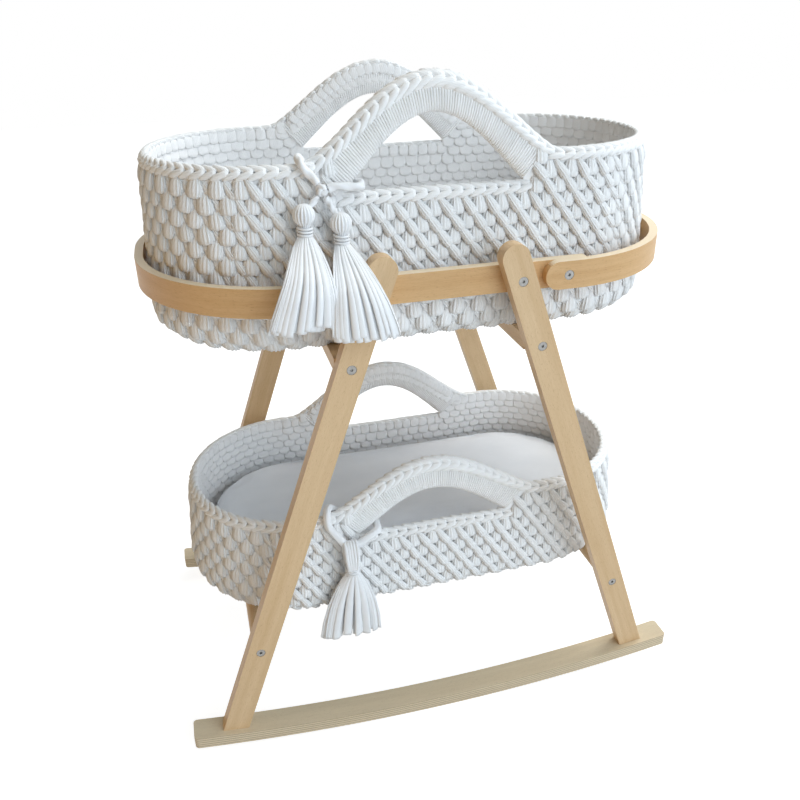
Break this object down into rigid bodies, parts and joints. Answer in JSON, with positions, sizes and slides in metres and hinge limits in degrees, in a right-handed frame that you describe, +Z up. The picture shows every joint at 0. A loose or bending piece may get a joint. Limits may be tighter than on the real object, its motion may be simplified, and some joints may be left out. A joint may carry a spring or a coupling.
{
  "type": "moses basket stand",
  "caption": "Wooden rocking stand with a bentwood ring that carries a crocheted moses basket, with a second low crocheted basket on the crossbars between its legs.",
  "frame": {"origin": "floor level under the middle of the stand, where both rockers touch the floor", "axes": "+X along the rockers and the baskets' length, +Y from the front to the back, +Z up"},
  "size_m": [0.8, 0.5165, 0.9642],
  "materials": {
    "beech": "clear satin lacquer",
    "laminated_beech": "clear satin lacquer over bent layers",
    "plywood": "sanded, uncoated",
    "zinc_steel": "bright zinc plated",
    "cotton_yarn": "thick crocheted cotton yarn",
    "mattress_cotton": "plain woven cotton cover"
  },
  "bodies": {
    "stand": {"front_rocker": "laminated_beech", "rear_rocker": "laminated_beech", "front_left_leg": "beech", "front_right_leg": "beech", "rear_left_leg": "beech", "rear_right_leg": "beech", "front_rail": "beech", "rear_rail": "beech", "left_hoop": "beech", "right_hoop": "beech", "upper_left_crossbar": "beech", "upper_right_crossbar": "beech", "lower_left_crossbar": "beech", "lower_right_crossbar": "beech", "leg_bolts": "zinc_steel", "hoop_bolts": "zinc_steel", "crossbar_bolts": "zinc_steel", "sleeve_nuts": "zinc_steel", "barrel_nuts": "zinc_steel", "rocker_screws": "zinc_steel"},
    "upper_basket": {"upper_basket_shell": "cotton_yarn", "upper_base_board": "plywood", "upper_tassel_cord": "cotton_yarn"},
    "upper_bedding": {"upper_mattress": "mattress_cotton"},
    "outer_tassel": {"outer_tassel_tail": "cotton_yarn", "outer_tassel_ball": "cotton_yarn", "outer_tassel_binding": "cotton_yarn", "outer_tassel_skirt": "cotton_yarn"},
    "inner_tassel": {"inner_tassel_tail": "cotton_yarn", "inner_tassel_ball": "cotton_yarn", "inner_tassel_binding": "cotton_yarn", "inner_tassel_skirt": "cotton_yarn"},
    "lower_basket": {"lower_basket_shell": "cotton_yarn", "lower_base_board": "plywood", "lower_tassel_cord": "cotton_yarn"},
    "lower_bedding": {"lower_mattress": "mattress_cotton"},
    "lower_tassel": {"lower_tassel_ball": "cotton_yarn", "lower_tassel_binding": "cotton_yarn", "lower_tassel_skirt": "cotton_yarn"}
  },
  "joints": [
    {"name": "upper_basket_lift", "type": "slide", "parent": "stand", "child": "upper_basket", "axis": [0, 0, 1], "range_m": [0, 0.3]},
    {"name": "lower_basket_lift", "type": "slide", "parent": "stand", "child": "lower_basket", "axis": [0, 0, 1], "range_m": [0, 0.15]},
    {"name": "upper_mattress_lift", "type": "slide", "parent": "upper_basket", "child": "upper_bedding", "axis": [0, 0, 1], "range_m": [0, 0.12]},
    {"name": "lower_mattress_lift", "type": "slide", "parent": "lower_basket", "child": "lower_bedding", "axis": [0, 0, 1], "range_m": [0, 0.04]},
    {"name": "outer_tassel_swing", "type": "hinge", "parent": "upper_basket", "child": "outer_tassel", "pos_m": [-0.1481, -0.1856, 0.8387], "axis": [-1, 0, 0], "range_deg": [0, 60]},
    {"name": "inner_tassel_swing", "type": "hinge", "parent": "upper_basket", "child": "inner_tassel", "pos_m": [-0.1481, -0.1856, 0.8387], "axis": [-1, 0, 0], "range_deg": [0, 60]},
    {"name": "lower_tassel_swing", "type": "hinge", "parent": "lower_basket", "child": "lower_tassel", "pos_m": [-0.1374, -0.1932, 0.3117], "axis": [-1, 0, 0], "range_deg": [0, 60]}
  ]
}
